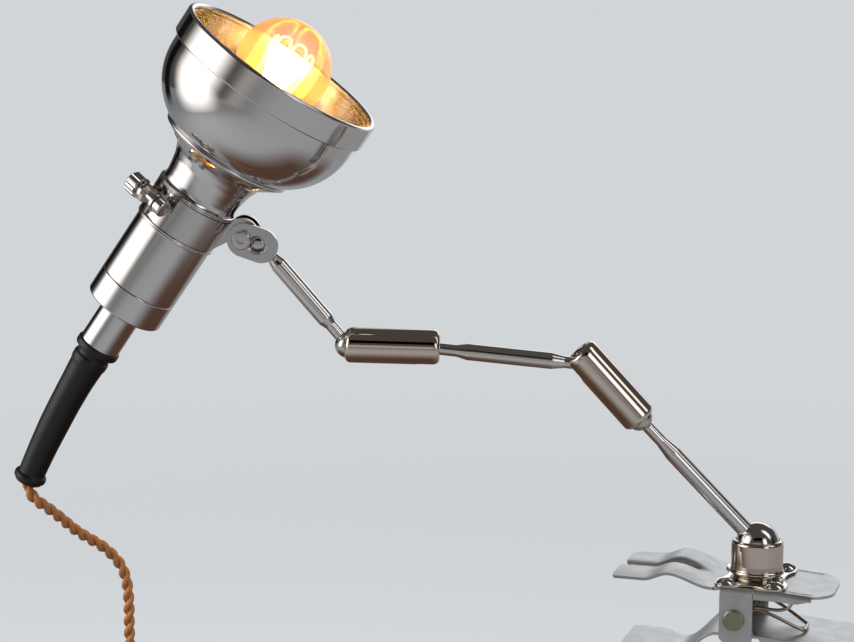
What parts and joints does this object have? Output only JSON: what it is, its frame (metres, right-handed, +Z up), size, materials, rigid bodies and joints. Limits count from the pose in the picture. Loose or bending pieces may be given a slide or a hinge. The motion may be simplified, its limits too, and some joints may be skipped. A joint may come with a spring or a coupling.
{
  "type": "clip-on lamp",
  "caption": "Clip-on lamp: polished bowl head with a round bulb, jointed arm with ball couplings, spring clamp, and a cloth cord with an in-line switch and a plug.",
  "frame": {"origin": "middle of the upper jaw's gripping face, on the table top it rests on", "axes": "+Z up out of the table top, -X from the table's edge over the table, +X along the clamp's handles, +Y across the clamp"},
  "size_m": [0.43, 0.1702, 0.5897],
  "materials": {
    "zinc_plate": "satin zinc plating",
    "zinc_rivet": "pale passivated zinc",
    "spring_steel": "bright spring wire",
    "bright_nickel": "polished nickel plating",
    "warm_nickel": "polished nickel plating with a warm tint",
    "bronze": "bare bronze",
    "polished_steel": "polished steel",
    "polished_aluminium": "polished aluminium with fine turning marks",
    "black_rubber": "satin black rubber",
    "porcelain": "glazed porcelain",
    "brass": "bare brass",
    "wire_insulation": "matt plastic insulation",
    "amber_glass": "clear glass with an amber tint",
    "filament": "glowing filament on a glass mount",
    "cloth_cord": "woven cloth, brown and orange",
    "brown_bakelite": "glossy moulded plastic",
    "cream_bakelite": "glossy moulded plastic",
    "black_plug": "satin moulded plastic",
    "pin_brass": "nickel-plated brass"
  },
  "bodies": {
    "clamp": {"upper_clamp_plate": "zinc_plate", "pivot_pin": "zinc_rivet", "clamp_spring": "spring_steel", "foot_flange": "bright_nickel", "flange_screws": "bright_nickel", "bell_housing": "warm_nickel", "disc_springs": "spring_steel"},
    "seat": {"turning_seat": "bronze"},
    "lower_arm": {"base_ball": "warm_nickel", "lower_rod": "bright_nickel"},
    "ball_a": {"lower_rod_ball": "polished_steel"},
    "low_coupling": {"lower_sleeve": "warm_nickel", "lower_seats": "bronze", "lower_coupling_spring": "spring_steel"},
    "ball_b": {"middle_rod_low_ball": "polished_steel"},
    "middle_arm": {"middle_rod": "bright_nickel"},
    "ball_c": {"middle_rod_high_ball": "polished_steel"},
    "high_coupling": {"upper_sleeve": "warm_nickel", "upper_seats": "bronze", "upper_coupling_spring": "spring_steel"},
    "ball_d": {"upper_rod_low_ball": "polished_steel"},
    "upper_arm": {"upper_rod": "bright_nickel"},
    "ball_e": {"upper_rod_high_ball": "polished_steel"},
    "neck": {"near_cheek": "polished_steel", "far_cheek": "polished_steel", "cheek_screw": "bright_nickel", "cheek_nut": "bright_nickel", "strap_band": "polished_steel", "strap_nut": "bright_nickel"},
    "knob": {"strap_knob": "bright_nickel"},
    "head": {"rim_ring": "polished_aluminium", "shade_bowl": "polished_aluminium", "bead_ring": "polished_aluminium", "vented_neck": "polished_aluminium", "holder_body": "polished_aluminium", "end_cap": "polished_aluminium", "cord_tube": "polished_aluminium", "rubber_boot": "black_rubber", "porcelain_base": "porcelain", "screw_shell": "brass", "terminal_screws": "brass", "lead_wires": "wire_insulation", "cord_grip": "wire_insulation", "cord_lead": "cloth_cord", "switch_base": "brown_bakelite", "switch_cover": "brown_bakelite", "cord_drop": "cloth_cord", "cord_coil": "cloth_cord", "cord_tail": "cloth_cord", "coil_tie": "black_rubber", "plug_body": "black_plug", "plug_pins": "pin_brass"},
    "contact": {"centre_contact": "brass"},
    "bulb": {"bulb_glass": "amber_glass", "bulb_cap": "brass", "bulb_filament": "filament"},
    "rocker": {"switch_rocker": "cream_bakelite"},
    "lever": {"lower_lever": "zinc_plate"}
  },
  "joints": [
    {"name": "base_swivel", "type": "hinge", "parent": "clamp", "child": "seat", "pos_m": [0.061, 0, 0.01775], "axis": [0, 0, 1], "continuous": true},
    {"name": "base_tilt", "type": "hinge", "parent": "seat", "child": "lower_arm", "pos_m": [0.061, 0, 0.01775], "axis": [0.3256, -0.9455, 0], "range_deg": [-97, 11]},
    {"name": "lower_rod_spin", "type": "hinge", "parent": "lower_arm", "child": "ball_a", "pos_m": [0.00264, -0.0201, 0.08325], "axis": [-0.6485, -0.2233, 0.7278], "continuous": true},
    {"name": "low_mouth_tilt", "type": "hinge", "parent": "ball_a", "child": "low_coupling", "pos_m": [0.00264, -0.0201, 0.08325], "axis": [0.3256, -0.9455, 0], "range_deg": [-38, 38]},
    {"name": "low_nose_tilt", "type": "hinge", "parent": "low_coupling", "child": "ball_b", "pos_m": [-0.02045, -0.02805, 0.11037], "axis": [0.3256, -0.9455, 0], "range_deg": [-48, 38]},
    {"name": "middle_rod_low_spin", "type": "hinge", "parent": "ball_b", "child": "middle_arm", "pos_m": [-0.02045, -0.02805, 0.11037], "axis": [-0.9402, -0.3237, 0.1063], "continuous": true},
    {"name": "middle_rod_high_spin", "type": "hinge", "parent": "middle_arm", "child": "ball_c", "pos_m": [-0.10262, -0.05634, 0.11966], "axis": [-0.9402, -0.3237, 0.1063], "continuous": true},
    {"name": "high_nose_tilt", "type": "hinge", "parent": "ball_c", "child": "high_coupling", "pos_m": [-0.10262, -0.05634, 0.11966], "axis": [0.3256, -0.9455, 0], "range_deg": [-11, 60]},
    {"name": "high_mouth_tilt", "type": "hinge", "parent": "high_coupling", "child": "ball_d", "pos_m": [-0.13712, -0.06822, 0.12074], "axis": [0.3256, -0.9455, 0], "range_deg": [-38, 40]},
    {"name": "upper_rod_low_spin", "type": "hinge", "parent": "ball_d", "child": "upper_arm", "pos_m": [-0.13712, -0.06822, 0.12074], "axis": [-0.6119, -0.2107, 0.7623], "range_deg": [-90, 90]},
    {"name": "upper_rod_high_spin", "type": "hinge", "parent": "upper_arm", "child": "ball_e", "pos_m": [-0.1791, -0.08267, 0.17304], "axis": [-0.6119, -0.2107, 0.7623], "range_deg": [-90, 90]},
    {"name": "neck_tilt", "type": "hinge", "parent": "ball_e", "child": "neck", "pos_m": [-0.1791, -0.08267, 0.17304], "axis": [0.3256, -0.9455, 0], "range_deg": [-40, 40]},
    {"name": "head_turn", "type": "hinge", "parent": "neck", "child": "head", "pos_m": [-0.21357, -0.09342, 0.18777], "axis": [0.5714, 0.0615, 0.8183], "range_deg": [-180, 180]},
    {"name": "strap_knob_turn", "type": "hinge", "parent": "neck", "child": "knob", "pos_m": [-0.22038, -0.11937, 0.19693], "axis": [0.8029, -0.248, -0.5421], "continuous": true},
    {"name": "bulb_screw", "type": "hinge", "parent": "contact", "child": "bulb", "pos_m": [-0.20157, -0.09213, 0.20496], "axis": [0.5714, 0.0615, 0.8183], "range_deg": [0, 360]},
    {"name": "contact_travel", "type": "slide", "parent": "head", "child": "contact", "axis": [0.5714, 0.0615, 0.8183], "range_m": [0, 0.0036]},
    {"name": "switch_rocker_tilt", "type": "hinge", "parent": "head", "child": "rocker", "pos_m": [-0.269, -0.0622, -0.093], "axis": [1, 0, 0], "range_deg": [-12, 0]},
    {"name": "jaw_hinge", "type": "hinge", "parent": "clamp", "child": "lever", "pos_m": [0.054, 0, -0.0165], "axis": [0, 1, 0], "range_deg": [-10, 30], "stiffness_Nm_per_rad": 1.2, "deforming": ["clamp_spring"]}
  ],
  "couplings": [
    {"joint": "contact_travel", "follows": "bulb_screw", "m_per_rad": 0.00057296}
  ]
}
